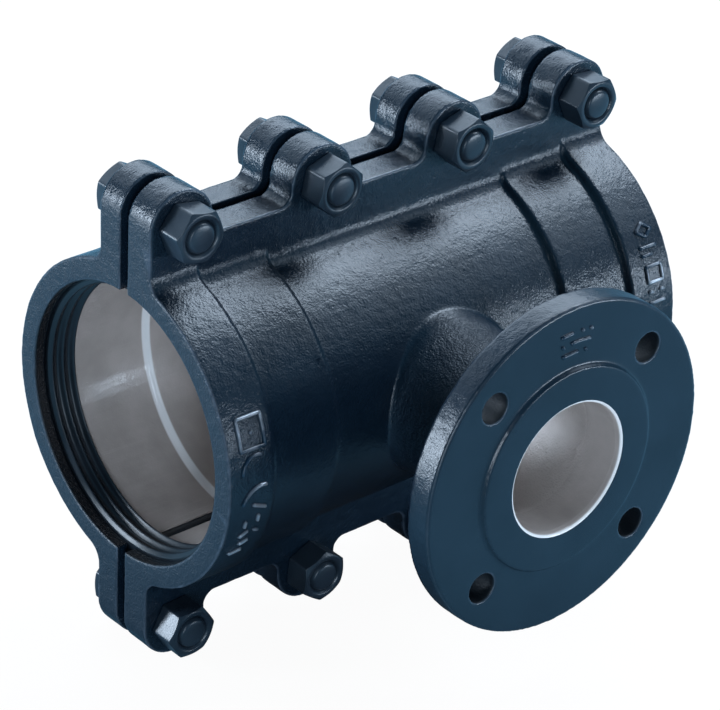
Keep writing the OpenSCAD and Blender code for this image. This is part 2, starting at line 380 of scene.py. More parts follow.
def relax(points, edges, share, rounds):
    """Moves points towards their neighbours' mean, share of the way, some rounds."""
    moving = (share[edges] > 0).any(1)
    used, near = np.unique(edges[moving], return_inverse=True)
    near = near.reshape(-1, 2)
    ends, others = np.concatenate([near, near[:, ::-1]]).T
    count = np.bincount(ends, minlength=len(used))[:, None]
    part, pull = points[used], share[used][:, None]
    for _ in range(rounds):
        total = np.stack([np.bincount(ends, part[others, k], len(used)) for k in range(3)], 1)
        part = part + pull * (total / count - part)
    points = points.copy()
    points[used] = part
    return points


# %% How soft each place is
def ramp(value, low, high):
    """0 below low, 1 above high, smooth between them."""
    t = np.clip((value - low) / (high - low), 0, 1)
    return t * t * (3 - 2 * t)


def everywhere(points):
    return np.ones(len(points))


def softness(points):
    """1 on cast skin, less on what was machined: the bores and the flange's face."""
    x, y, z = points.T
    from_pipe = np.hypot(y, z)
    from_branch = np.hypot(x, z)
    cast = ramp(from_pipe, seal_outer_r + 1.5 * MM, seal_outer_r + 5 * MM)
    face = ramp(-y, branch_reach - 8 * MM, branch_reach - 4 * MM)
    bore = 1 - ramp(from_branch, bore_r + 1.5 * MM, bore_r + 3.5 * MM)
    return cast * (1 - 0.85 * face) * (1 - bore * (y < -seal_outer_r))


def foot(points):
    """1 in the corner where the branch's neck grows out of the sleeve."""
    x, y, z = points.T
    from_branch, from_pipe = np.hypot(x, z), np.hypot(y, z)
    near = ramp(from_branch, neck_r - 2 * MM, neck_r)
    near *= 1 - ramp(from_branch, neck_r + 12 * MM, neck_r + 18 * MM)
    height = from_pipe - mid_r
    return near * (1 - ramp(height, 8 * MM, 18 * MM)) * (height > -3 * MM) * (y < -bore_r)


def flange_edges(points):
    """1 along the round edges of the flange and of its raised face."""
    x, y, z = points.T
    from_branch = np.hypot(x, z)
    near = 1 - np.minimum(ramp(np.abs(from_branch - raised_r), 1 * MM, 3 * MM),
                          ramp(np.abs(from_branch - flange_r), 1 * MM, 3 * MM))
    return near * ramp(-y, branch_reach - 24 * MM, branch_reach - 21 * MM)


def collar_steps(points):
    """1 along the steps where the sleeve grows thicker towards its collars."""
    x, y, z = points.T
    along, from_pipe = np.abs(x) - 1 * MM, np.hypot(y, z)
    near = 1 - np.minimum(ramp(np.abs(along - band_start), 2 * MM, 4 * MM),
                          ramp(np.abs(along - band_end), 2 * MM, 4 * MM))
    above = ramp(from_pipe, mid_r - 1.5 * MM, mid_r - 0.5 * MM)
    return near * above * (1 - ramp(from_pipe, collar_r, collar_r + 3 * MM))


def unevenness(points, size, seed, count=28):
    """A smooth random height about 1 high, with lumps about that size: many waves added up."""
    rng = np.random.default_rng(seed)
    waves = rng.normal(size=(count, 3))
    waves *= (2 * math.pi / size) / np.linalg.norm(waves, axis=1)[:, None]
    return np.sin(points @ waves.T + rng.uniform(0, 2 * math.pi, count)).sum(1) / math.sqrt(count / 2)


# %% The soft skin
def soften(points, edges):
    """Relaxes the skin: a little everywhere, and more where the shares say so."""
    for share, rounds in ((everywhere, 1), (softness, 1), (foot, 5), (flange_edges, 5), (collar_steps, 7)):
        points = relax(points, edges, 0.5 * share(points), rounds)
    return points


# Ridges are painted paler, for a thinner coat and a painted edge highlight,
# where a point stands proud by more than ridge_low of a voxel.
voxel, most_triangles = 0.95 * MM, 190000
ridge_low, ridge_span = 0.07, 0.12


def cast_half(name, node_name):
    """A soft cast skin that stands for one half of the sleeve."""
    half = merged_copy(name, node_name)
    remesh = half.modifiers.new("skin", "REMESH")
    remesh.mode = "VOXEL"
    remesh.voxel_size = voxel
    mesh = keep_mesh(half).data
    edges = edges_of(mesh)
    points = soften(points_of(mesh), edges)
    move_points(mesh, points)
    normals = points_of(mesh, "normal")
    swell = 0.06 * MM * unevenness(points, 34 * MM, seed=3)
    ripple = 0.035 * MM * unevenness(points, 8 * MM, seed=4)
    points += normals * ((swell + ripple) * softness(points))[:, None]
    points = np.clip(points, *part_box(node_name))
    move_points(mesh, points)
    proud = points - relax(points, edges, everywhere(points), 1)
    proud = (proud * normals).sum(1) / voxel
    keep_value(mesh, "ridge", np.clip((proud - ridge_low) / ridge_span, 0, 1))
    skin_count = len(mesh.polygons)
    thin = half.modifiers.new("thin", "DECIMATE")
    thin.ratio = min(1, most_triangles / (2 * skin_count))
    smooth(keep_mesh(half).data)
    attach(half, "root")
    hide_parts(node_name)
    print(name, "skin of", skin_count, "squares, kept", len(half.data.polygons), "faces")
    return half


front = cast_half("front_casting", "front_shell")
rear = cast_half("rear_casting", "back_shell")

# %% [markdown]
# ## The skin of a dip-coated casting
# Iron poured into sand takes the print of the grains, and the coat that it
# is dipped in softens them without hiding them. The print is a pattern of
# heights, so it is made once, as a node group with named inputs, and each
# material that needs it sets its own grain size. The group gives out a height
# and a mask; the gloss itself stays in the material.

# %% A node group for sand print
def shader_group(name, inputs, outputs):
    """A shader node group whose inputs carry their usual values."""
    group = bpy.data.node_groups.new(name, "ShaderNodeTree")
    for title, value in inputs.items():
        socket = group.interface.new_socket(title, in_out="INPUT", socket_type="NodeSocketFloat")
        socket.default_value = value
    for title in outputs:
        group.interface.new_socket(title, in_out="OUTPUT", socket_type="NodeSocketFloat")
    return group


def grain_group():
    """Heights of a sand-cast skin: fine grains, soft lumps and a few pits."""
    group = shader_group("sand_print", {"Grain Scale": 800, "Pits": 1}, ("Height", "Mottle"))
    add, link, combine = group.nodes.new, group.links.new, calculator(group)
    take, give, place = add("NodeGroupInput"), add("NodeGroupOutput"), add("ShaderNodeTexCoord")

    def noise(scale, detail):
        texture = add("ShaderNodeTexNoise")
        texture.inputs["Detail"].default_value = detail
        texture.inputs["Roughness"].default_value = 0.55
        link(place.outputs["Object"], texture.inputs["Vector"])
        if isinstance(scale, float):
            texture.inputs["Scale"].default_value = scale
        else:
            link(scale, texture.inputs["Scale"])
        return texture.outputs["Fac"]

    fine = noise(take.outputs["Grain Scale"], 2.0)
    lumps = noise(170.0, 2.0)
    mottle = noise(28.0, 3.0)
    cells = add("ShaderNodeTexVoronoi")
    cells.inputs["Scale"].default_value = 210
    link(place.outputs["Object"], cells.inputs["Vector"])
    pit = add("ShaderNodeMapRange")
    pit.interpolation_type = "SMOOTHSTEP"
    pit.inputs["From Min"].default_value = 0.05
    pit.inputs["From Max"].default_value = 0.22
    link(cells.outputs["Distance"], pit.inputs["Value"])
    pitted = combine("MULTIPLY", combine("SUBTRACT", pit.outputs["Result"], 1), take.outputs["Pits"])
    height = combine("ADD", combine("ADD", fine, combine("MULTIPLY", lumps, 1.6)), pitted)
    link(height, give.inputs["Height"])
    link(mottle, give.inputs["Mottle"])
    return group


sand_print = grain_group()
print("group", sand_print.name, "with", len(sand_print.nodes), "nodes")

# %% [markdown]
# ## Where the lining lies
# The bores are painted pale grey and the outside is blue-black. The border
# follows the shape: it lies inside a radius from the pipe's axis, between
# the two seal grooves, and inside a radius from the branch's axis. A second
# group works that out from Object coordinates, so the border stays sharp
# however coarse the mesh is.

# %% A node group for the lined bores
def object_place(group):
    """The three coordinates of a place on the part, as sockets."""
    place, split = group.nodes.new("ShaderNodeTexCoord"), group.nodes.new("ShaderNodeSeparateXYZ")
    group.links.new(place.outputs["Object"], split.inputs["Vector"])
    return (split.outputs[axis] for axis in "XYZ")


def from_axis(combine, first, second):
    """How far a place lies from an axis, from its two coordinates across it."""
    return combine("SQRT", combine("ADD", combine("POWER", first, 2), combine("POWER", second, 2)))


def lining_group():
    """1 on the lined bores, 0 elsewhere."""
    sizes = {"Pipe Radius": lining_r, "Half Length": lining_half,
             "Branch Radius": bore_r + 2 * MM, "Branch Start": mid_r - 12.5 * MM}
    group = shader_group("lined_bores", sizes, ["Mask"])
    size, give = group.nodes.new("NodeGroupInput").outputs, group.nodes.new("NodeGroupOutput")
    combine = calculator(group)
    x, y, z = object_place(group)
    in_pipe = combine("LESS_THAN", from_axis(combine, y, z), size["Pipe Radius"])
    between = combine("LESS_THAN", combine("ABSOLUTE", x), size["Half Length"])
    in_branch = combine("LESS_THAN", from_axis(combine, x, z), size["Branch Radius"])
    ahead = combine("GREATER_THAN", combine("MULTIPLY", y, -1), size["Branch Start"])
    mask = combine("MAXIMUM", combine("MULTIPLY", in_pipe, between), combine("MULTIPLY", in_branch, ahead))
    group.links.new(mask, give.inputs["Mask"])
    return group


lined_bores = lining_group()
print("group", lined_bores.name, "with", len(lined_bores.nodes), "nodes")

# %% [markdown]
# ## Where the coat differs
# One coat covers the whole casting, but what lies under it differs. The neck
# kept the roughest sand, because the mould could not be smoothed there. The
# ends were sawn or ground, so they are dull. The flange's face was turned and
# its rim nearly so. The mouths lie in the shade of the seals and the bolt
# holes are deep, so both are painted darker: painted shade. Inside, the
# shoulder where the bore widens and the lip of the branch are painted near
# white: a painted highlight.

# %% A node group for the zones of the casting
zone_sizes = {
    "Sawn Start": sleeve_end - 1.2 * MM, "Mouth Start": mouth_start, "Mouth Radius": mouth_r,
    "Step Start": band_start + 0.5 * MM, "Step End": band_start + 5 * MM,
    "Neck Radius": neck_r + 3.5 * MM, "Neck Start": mid_r - 4.5 * MM, "Neck End": flange_back - 6.5 * MM,
    "Rim Radius": flange_r - 1.5 * MM, "Turned Start": face_reach - 1.2 * MM,
    "Lip Start": face_reach + 1.4 * MM,
    "Hole Start": flange_back + 0.7 * MM, "Hole End": face_reach - 0.6 * MM,
    "Hole Inside": bolt_circle_r - 1.5 * flange_hole_r,
    "Hole Outside": bolt_circle_r + 1.5 * flange_hole_r}


def zone_group():
    """A mask for each place where the coat differs, where shade is painted (mouths, holes) and where a
    highlight is painted (step).
    """
    zones = ("Ends", "Neck", "Turned", "Mouths", "Rim", "Step", "Holes")
    group = shader_group("casting_zones", zone_sizes, zones)
    size, give = group.nodes.new("NodeGroupInput").outputs, group.nodes.new("NodeGroupOutput")
    combine = calculator(group)

    def past(value, edge, width):
        """0 before the edge and 1 past it, rising over that width in millimetres."""
        node = group.nodes.new("ShaderNodeClamp")
        ahead = combine("DIVIDE", combine("SUBTRACT", value, size[edge]), width * MM)
        group.links.new(combine("ADD", ahead, 0.5), node.inputs["Value"])
        return node.outputs["Result"]

    def short_of(value, edge, width):
        return combine("SUBTRACT", 1, past(value, edge, width))

    def both(*masks):
        whole = masks[0]
        for mask in masks[1:]:
            whole = combine("MULTIPLY", whole, mask)
        return whole

    x, y, z = object_place(group)
    along, reach = combine("ABSOLUTE", x), combine("MULTIPLY", y, -1)
    from_branch, from_pipe = from_axis(combine, x, z), from_axis(combine, y, z)
    masks = {
        "Ends": past(along, "Sawn Start", 0.8),
        "Neck": both(short_of(from_branch, "Neck Radius", 2), past(reach, "Neck Start", 8),
                     short_of(reach, "Neck End", 10)),
        "Turned": past(reach, "Turned Start", 1),
        "Mouths": both(past(along, "Mouth Start", 0.4), short_of(from_pipe, "Mouth Radius", 1)),
        "Rim": both(past(from_branch, "Rim Radius", 1), past(reach, "Neck End", 2)),
        "Step": combine("MAXIMUM", past(reach, "Lip Start", 0.6),
                        both(past(along, "Step Start", 1), short_of(along, "Step End", 1))),
        "Holes": both(past(reach, "Hole Start", 0.6), short_of(reach, "Hole End", 0.6),
                      past(from_branch, "Hole Inside", 2), short_of(from_branch, "Hole Outside", 2))}
    for zone, mask in masks.items():
        group.links.new(mask, give.inputs[zone])
    return group


casting_zones = zone_group()
print("group", casting_zones.name, "with", len(casting_zones.nodes), "nodes")

# %% Helpers for materials
def mix_colour(tree, factor, first, second):
    """A colour that goes from first to second; each is a colour or a socket."""
    node = tree.nodes.new("ShaderNodeMix")
    node.data_type = "RGBA"
    tree.links.new(factor, node.inputs["Factor"])
    for socket, value in ((node.inputs[6], first), (node.inputs[7], second)):
        if isinstance(value, tuple):
            socket.default_value = value
        else:
            tree.links.new(value, socket)
    return node.outputs[2]


def map_range(tree, value, low, high, to_low=0.0, to_high=1.0):
    node = tree.nodes.new("ShaderNodeMapRange")
    for name, number in (("From Min", low), ("From Max", high), ("To Min", to_low), ("To Max", to_high)):
        node.inputs[name].default_value = number
    tree.links.new(value, node.inputs["Value"])
    return node.outputs["Result"]


def read_value(tree, name):
    """The number that keep_value stored under that name."""
    node = tree.nodes.new("ShaderNodeAttribute")
    node.attribute_name = name
    return node.outputs["Fac"]


def add_group(tree, group, **values):
    """A group node with its own values; an underscore in a name stands for a space."""
    node = tree.nodes.new("ShaderNodeGroup")
    node.node_tree = group
    for name, value in values.items():
        node.inputs[name.replace("_", " ")].default_value = value
    return node


def add_bump(tree, height, distance):
    node = tree.nodes.new("ShaderNodeBump")
    node.inputs["Distance"].default_value = distance
    node.inputs["Strength"].default_value = 1
    tree.links.new(height, node.inputs["Height"])
    return node.outputs["Normal"]


def new_material(name):
    """A material, its node tree and its shader."""
    material = bpy.data.materials.new(name)
    material.use_nodes = True
    return material, material.node_tree, material.node_tree.nodes["Principled BSDF"]


def weighted(tree, base, *shares):
    """base plus each (mask, amount): one number for each zone."""
    combine, total = calculator(tree), base
    for mask, amount in shares:
        total = combine("MULTIPLY_ADD", mask, amount, total)
    return total


def put_on(piece, material):
    piece.data.materials.clear()
    piece.data.materials.append(material)


# %% The coat on the castings
deep_coat, even_coat = (0.004, 0.011, 0.021, 1), (0.007, 0.017, 0.030, 1)
# The pale ridge colour is a thinner coat and also a painted edge highlight.
thin_coat_and_painted_highlight, sawn_end = (0.11, 0.15, 0.20, 1), (0.007, 0.014, 0.024, 1)
# The mouths' and the holes' colours are painted shade, darker than the coat.
painted_shade_in_mouths, painted_shade_in_holes = (0.005, 0.007, 0.010, 1), (0.003, 0.005, 0.008, 1)
dull_lining, pale_lining = (0.40, 0.36, 0.335, 1), (0.53, 0.475, 0.45, 1)
# This near-white is a painted highlight on the shoulder of the bore and on the branch's lip.
painted_highlight_on_lining = (0.90, 0.90, 0.90, 1)


def cast_coat_material():
    """Near-black coat over sand print outside, grey lining in the bores."""
    material, tree, shader = new_material("cast_coat")
    combine = calculator(tree)
    grain = add_group(tree, sand_print, Grain_Scale=820.0, Pits=0.35)
    lined = add_group(tree, lined_bores).outputs["Mask"]
    zone = add_group(tree, casting_zones).outputs
    mottle = map_range(tree, grain.outputs["Mottle"], 0.35, 0.7)
    broken = map_range(tree, grain.outputs["Mottle"], 0.3, 0.6, 0.3, 1)
    # Ridges are painted paler: a thinner coat there, and a painted highlight along the edges.
    thin = combine("MULTIPLY", read_value(tree, "ridge"), broken)
    coat = mix_colour(tree, mottle, deep_coat, even_coat)
    # The mouths and the bolt holes are painted darker: painted shade.
    for mask, colour in ((zone["Ends"], sawn_end), (thin, thin_coat_and_painted_highlight),
                         (zone["Mouths"], painted_shade_in_mouths), (zone["Holes"], painted_shade_in_holes)):
        coat = mix_colour(tree, mask, coat, colour)
    lining = mix_colour(tree, mottle, dull_lining, pale_lining)
    # The shoulder and the lip are painted near-white: a painted highlight.
    lining = mix_colour(tree, zone["Step"], lining, painted_highlight_on_lining)
    tree.links.new(mix_colour(tree, lined, coat, lining), shader.inputs["Base Color"])
    roughness = weighted(tree, 0.26, (lined, -0.09), (zone["Ends"], 0.16), (zone["Neck"], 0.15),
                         (zone["Rim"], 0.03), (zone["Holes"], 0.35))
    tree.links.new(roughness, shader.inputs["Roughness"])
    shader.inputs["Specular IOR Level"].default_value = 0.4
    depth = weighted(tree, 1.0, (lined, -0.68), (zone["Turned"], -0.75), (zone["Neck"], 1.7),
                     (zone["Ends"], 0.5), (zone["Rim"], -0.3))
    height = combine("MULTIPLY", grain.outputs["Height"], depth)
    tree.links.new(add_bump(tree, height, 0.26 * MM), shader.inputs["Normal"])
    return material


cast_coat = cast_coat_material()
for half in (front, rear):
    put_on(half, cast_coat)
print("coated", front.name, "and", rear.name)

# %% [markdown]
# ## Nuts and bolts
# Each fastener is a turned part with a hexagon on it, dipped in the same
# coat. Its outline round the axis is a circle where it was turned and a
# hexagon where the spanner goes, so one rule makes every ring of points: the
# radius is the smaller of the turned radius and the hexagon's. The chamfered
# crown with its curved edges then comes by itself. One nut and one bolt are
# made as patterns, and Geometry Nodes set them on the eight bolt axes.

# %% Where the fasteners are
def axis_of(node_name):
    """The x and z of the axis that a fastener lies on."""
    low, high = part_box(node_name)
    return (low.x + high.x) / 2, (low.z + high.z) / 2


def corner_turn(node_name):
    """The angle of one corner of a hexagon node, from +X towards +Z, within a sixth of a turn."""
    x, z = axis_of(node_name)
    points = points_of(nodes[node_name].data)
    dx, dz = points[:, 0] - x, points[:, 2] - z
    far = np.argmax(np.hypot(dx, dz))
    return math.atan2(dz[far], dx[far]) % (math.pi / 3)


nut_names = sorted(name for name in nodes if name.startswith("nut_"))
bolt_names = sorted(name for name in nodes if name.startswith("bolt_"))
nut_low, nut_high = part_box(nut_names[0])
bolt_low, bolt_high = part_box(bolt_names[0])
nut_h = nut_high.y - nut_low.y
bolt_r = 10 * MM
print(len(nut_names), "nuts", round(nut_h, 4), "m high on", len(bolt_names), "bolts")

# %% A turned part with a hexagon on it
def hexagon_radius(angle, flats, crispness=44):
    """The radius of a hexagon with slightly rounded corners; its first corner is at angle 0."""
    sides = [np.abs(np.cos(angle - math.radians(30 + 60 * k))) ** crispness for k in range(3)]
    return flats / 2 / sum(sides) ** (1 / crispness)


def turned_hexagon(name, profile, flats, steps=144):
    """A closed mesh round +Z. Each profile point is (radius, height, True for a hexagon ring)."""
    angle = np.arange(steps) * 2 * math.pi / steps
    hexagon = hexagon_radius(angle, flats)
    rings = []
    for radius, height, is_hexagon in profile:
        r = np.minimum(radius, hexagon) if is_hexagon else np.full(steps, radius)
        rings.append(np.stack([r * np.cos(angle), r * np.sin(angle), np.full(steps, height)], 1))
    faces = between_rings(len(profile), steps)
    piece = closed_piece(name, np.concatenate(rings).tolist(), faces, merge=True)
    smooth(piece.data)
    return piece


def rounded(profile, radius):
    """The profile with each corner cut by two small chamfers of about that radius."""
    out = [profile[0]]
    for before, here, after in zip(profile, profile[1:], profile[2:]):
        a, p, c = (np.array(point[:2]) for point in (before, here, after))
        to_a, to_c = a - p, c - p
        reach = min(radius, 0.4 * np.linalg.norm(to_a), 0.4 * np.linalg.norm(to_c))
        start = p + to_a / np.linalg.norm(to_a) * reach
        end = p + to_c / np.linalg.norm(to_c) * reach
        middle = (start + end) / 4 + p / 2
        out += [(*start, here[2]), (*middle, here[2]), (*end, here[2])]
    return out + [profile[-1]]


slope = math.tan(math.radians(30))
face_r = flats / 2 - 0.75 * MM
corner_r = flats / 2 / math.cos(math.radians(30)) * 1.01
soft_edge = 0.35 * MM


def crown(top, steps=9):
    """A 30 degree chamfer from beyond the hexagon's corners up to the flat face."""
    return [(r, top - (r - face_r) * slope, True) for r in np.linspace(corner_r, face_r, steps)]


# %% The nut and bolt patterns
def nut_pattern(sink=1.6 * MM, foot=0.9 * MM):
    """A nut that stands on its seat, with a countersunk thread on top."""
    thread_r = bolt_r + 0.15 * MM
    outside = [(thread_r, 0, False), (face_r, 0, False), (corner_r, foot, True)] + crown(nut_h)
    inside = [(thread_r + sink + 0.4 * MM, nut_h, False), (thread_r + sink, nut_h - 0.25 * MM, False),
              (thread_r, nut_h - sink * 1.1, False), (thread_r, nut_h / 2, False), (thread_r, 0, False)]
    return turned_hexagon("nut_pattern", rounded(outside, soft_edge) + inside, flats)


def bolt_pattern(head_h=13.5 * MM, foot=0.7 * MM, dome=1.6 * MM):
    """A bolt along its axis, head down: the head's face is at 0 and the rounded end on top."""
    length = bolt_high.y - bolt_low.y
    head = [(0, 0, False), (face_r * 0.6, 0.1 * MM, False)]
    head += [(r, head_h - z, is_hexagon) for r, z, is_hexagon in reversed(crown(head_h))]
    head += [(corner_r, head_h - foot, True), (face_r, head_h, False), (bolt_r, head_h, False)]
    end = [(bolt_r, length - 2 * dome, False)]
    end += [((bolt_r - 1.2 * MM) * math.cos(a), length - dome + dome * math.sin(a), False)
            for a in np.radians([0, 12, 25, 40, 60, 78])]
    return turned_hexagon("bolt_pattern", rounded(head, soft_edge) + end + [(0, length, False)], flats)


nut, bolt = nut_pattern(), bolt_pattern()
print("nut pattern:", len(nut.data.polygons), "faces, bolt pattern:", len(bolt.data.polygons), "faces")

# %% [markdown]
# ## Setting the fasteners on their axes
# A small tree of nodes does what a fitter does: it takes the pattern to each
# point, lays it along the bolt hole and gives it the turn at which it came to
# rest. The points carry that turn as an attribute, read from the CAD nodes.
# The tree ends in real geometry, which becomes one plain mesh.

# %% The tree that places a pattern
def placing_tree():
    """Sets a pattern on each axis, laid from +Z to -Y and turned by the point's own value."""
    tree = bpy.data.node_groups.new("set_on_axes", "GeometryNodeTree")
    socket = tree.interface.new_socket
    socket("Axes", in_out="INPUT", socket_type="NodeSocketGeometry")
    socket("Pattern", in_out="INPUT", socket_type="NodeSocketObject")
    socket("Seat", in_out="INPUT", socket_type="NodeSocketFloat")
    socket("Size", in_out="INPUT", socket_type="NodeSocketFloat").default_value = 1
    socket("Finish", in_out="INPUT", socket_type="NodeSocketMaterial")
    socket("Geometry", in_out="OUTPUT", socket_type="NodeSocketGeometry")
    add, link = tree.nodes.new, tree.links.new
    take, give = add("NodeGroupInput"), add("NodeGroupOutput")
    pattern = add("GeometryNodeObjectInfo")
    link(take.outputs["Pattern"], pattern.inputs["Object"])
    turn = add("GeometryNodeInputNamedAttribute")
    turn.data_type = "FLOAT"
    turn.inputs["Name"].default_value = "turn"
    spin, lay = add("ShaderNodeCombineXYZ"), add("FunctionNodeRotateEuler")
    link(turn.outputs["Attribute"], spin.inputs["Z"])
    lay.inputs["Rotate By"].default_value = (math.pi / 2, 0, 0)
    link(spin.outputs["Vector"], lay.inputs["Rotation"])
    copies = add("GeometryNodeInstanceOnPoints")
    link(take.outputs["Axes"], copies.inputs["Points"])
    link(pattern.outputs["Geometry"], copies.inputs["Instance"])
    link(lay.outputs["Rotation"], copies.inputs["Rotation"])
    link(take.outputs["Size"], copies.inputs["Scale"])
    shift, move = add("ShaderNodeCombineXYZ"), add("GeometryNodeTranslateInstances")
    link(take.outputs["Seat"], shift.inputs["Y"])
    link(copies.outputs["Instances"], move.inputs["Instances"])
    link(shift.outputs["Vector"], move.inputs["Translation"])
    move.inputs["Local Space"].default_value = False
    real, finish = add("GeometryNodeRealizeInstances"), add("GeometryNodeSetMaterial")
    link(move.outputs["Instances"], real.inputs["Geometry"])
    link(real.outputs["Geometry"], finish.inputs["Geometry"])
    link(take.outputs["Finish"], finish.inputs["Material"])
    link(finish.outputs["Geometry"], give.inputs["Geometry"])
    return tree


set_on_axes = placing_tree()
print("tree", set_on_axes.name, "with", len(set_on_axes.nodes), "nodes")

# %% The coat on the fasteners
dipped_dark, dipped_pale = (0.008, 0.016, 0.026, 1), (0.021, 0.033, 0.047, 1)


def fastener_material():
    """The same dip, a little paler and smoother than on the castings."""
    material, tree, shader = new_material("fastener_coat")
    grain = add_group(tree, sand_print, Grain_Scale=900.0, Pits=0.4)
    mottle = map_range(tree, grain.outputs["Mottle"], 0.3, 0.7)
    tree.links.new(mix_colour(tree, mottle, dipped_dark, dipped_pale), shader.inputs["Base Color"])
    tree.links.new(map_range(tree, mottle, 0, 1, 0.24, 0.36), shader.inputs["Roughness"])
    shader.inputs["Specular IOR Level"].default_value = 0.45
    tree.links.new(add_bump(tree, grain.outputs["Height"], 0.06 * MM), shader.inputs["Normal"])
    return material


fastener_coat = fastener_material()
print("made", fastener_coat.name)

# %% Set the nuts and bolts
def set_fasteners(name, pattern, node_names, seat):
    """One piece that stands for all those CAD nodes."""
    mesh = bpy.data.meshes.new(name)
    mesh.from_pydata([(axis_of(n)[0], 0, axis_of(n)[1]) for n in node_names], [], [])
    keep_value(mesh, "turn", [corner_turn(n) for n in node_names])
    piece = new_object(name, mesh)
    setter = piece.modifiers.new("set", "NODES")
    setter.node_group = set_on_axes
    values = {"Pattern": pattern, "Seat": seat, "Size": 1.0, "Finish": fastener_coat}
    for item in set_on_axes.interface.items_tree:
        if item.in_out == "INPUT" and item.name in values:
            setter[item.identifier] = values[item.name]
    keep_mesh(piece)
    bpy.data.objects.remove(pattern)
    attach(piece, "root")
    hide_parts(*node_names)
    points = points_of(piece.data)
    print(name, len(piece.data.polygons), "faces, from", points.min(0).round(4), "to", points.max(0).round(4))


set_fasteners("coated_nuts", nut, nut_names, nut_high.y)
set_fasteners("coated_bolts", bolt, bolt_names, bolt_high.y)

# %% [markdown]
# ## Rubber seals
# The end seals and the seam strips are moulded rubber. The strips start from
# their own solids and get their edges rounded, as a mould rounds them. The
# seals' lips are round all over, so their section is drawn as one smooth
# outline inside the solid's box and swept half way round the pipe. The
# finish is dull but not dead: a faint bloom lightens it here and there.

# %% Rubber
fresh_rubber, bloomed_rubber = (0.008, 0.011, 0.015, 1), (0.014, 0.019, 0.026, 1)


def rubber_material():
    """Black moulded rubber with a faint bloom."""
    material, tree, shader = new_material("seal_rubber")
    grain = add_group(tree, sand_print, Grain_Scale=1400.0, Pits=0.0)
    bloom = map_range(tree, grain.outputs["Mottle"], 0.4, 0.7)
    tree.links.new(mix_colour(tree, bloom, fresh_rubber, bloomed_rubber), shader.inputs["Base Color"])
    tree.links.new(map_range(tree, bloom, 0, 1, 0.28, 0.4), shader.inputs["Roughness"])
    shader.inputs["Specular IOR Level"].default_value = 0.36
    tree.links.new(add_bump(tree, grain.outputs["Height"], 0.02 * MM), shader.inputs["Normal"])
    return material


seal_rubber = rubber_material()


def rubber_piece(piece, node_name):
    """Finishes a piece that stands for a rubber node."""
    smooth(piece.data)
    piece.data.set_sharp_from_angle(angle=math.radians(50))
    put_on(piece, seal_rubber)
    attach(piece, "root")
    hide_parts(node_name)
    print(piece.name, len(piece.data.polygons), "faces")


# %% The end seals
def seal_outline(width, valley_r, crests=3, edge=0.8 * MM, lip_half=1.75 * MM, margin=2 * MM):
    """The outline of the ring's section as (station, radius): rounded lips inside, a plain back."""
    pitch = (width - 2 * margin) / (crests - 1)
    inner = []
    for station in np.linspace(0, width, 61):
        nearest = min(abs(station - margin - i * pitch) for i in range(crests))
        lip = math.exp(-((nearest / lip_half) ** 2))
        inner.append((station, valley_r - (valley_r - lip_r) * lip))
    (_, first), (_, last) = inner[0], inner[-1]
    back = [(width, last + edge), (width, seal_outer_r - edge), (width - edge, seal_outer_r),
            (edge, seal_outer_r), (0, seal_outer_r - edge), (0, first + edge)]
    return inner + back


def half_ring(name, outline, start, front, steps=128):
    """The outline swept half way round the pipe, from seam to seam, in front of it or behind."""
    station, r = np.array(outline).T
    side = -1 if front else 1
    rings = [np.stack([start + station, side * r * math.sin(angle), r * math.cos(angle)], 1)
             for angle in np.linspace(0, math.pi, steps + 1)]
    count = len(outline)
    faces = between_rings(steps + 1, count)
    faces += [tuple(range(count)), tuple(steps * count + i for i in range(count))]
    return closed_piece(name, np.concatenate(rings).tolist(), faces)


for name in sorted(name for name in nodes if name.startswith("end_seal")):
    low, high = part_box(name)
    outline = seal_outline(high.x - low.x, lip_r + lip_depth)
    rubber_piece(half_ring(name + "_lips", outline, low.x, low.y < -lip_r), name)


# %% The seam strips
def moulded(node_name):
    """A rubber piece with rounded edges, made from the node's own solid."""
    piece = merged_copy(node_name + "_rubber", node_name)
    bevel = piece.modifiers.new("edges", "BEVEL")
    bevel.width = 0.5 * MM
    bevel.segments = 2
    bevel.limit_method = "ANGLE"
    bevel.angle_limit = math.radians(28)
    return keep_mesh(piece)


for name in sorted(name for name in nodes if name.startswith("seam_seal")):
    rubber_piece(moulded(name), name)

# %% [markdown]
# ## Cast marks
# A foundry puts raised signs on its castings: a size, a class, a lot. Here
# they are plain shapes with no meaning, laid out like such signs: frames, a
# diamond, arcs, bars and dots. Each is a half-round stroke that stands on
# the collar or on the flange, as a stroke cut into the mould would leave it.

# %% Strokes and where they lie
def on_collar(x_middle, turn_up):
    """Places a flat sign (along the pipe, round the collar) on the front of a collar."""
    def place(u, v, height):
        angle = math.radians(turn_up) - v / collar_r
        r = collar_r + height
        return (x_middle + u, -r * math.cos(angle), r * math.sin(angle))
    return place


def on_flange(radius):
    """Places a flat sign on the flange's face above the branch, bent round its middle."""
    def place(u, v, height):
        angle = u / radius
        return ((radius - v) * math.sin(angle), -face_reach - height, (radius - v) * math.cos(angle))
    return place


def arc(u, v, radius, start, end, steps=14):
    """Points along part of a circle, from one angle to another in degrees."""
    angles = np.radians(np.linspace(start, end, steps))
    return [(u + radius * math.cos(a), v + radius * math.sin(a)) for a in angles]


def evenly_spaced(points, pitch):
    """The line through the points, with a point every pitch or so."""
    line = [points[0]]
    for (u0, v0), (u1, v1) in zip(points, points[1:]):
        count = max(1, round(math.hypot(u1 - u0, v1 - v0) / pitch))
        line += [(u0 + (u1 - u0) * i / count, v0 + (v1 - v0) * i / count) for i in range(1, count + 1)]
    return line


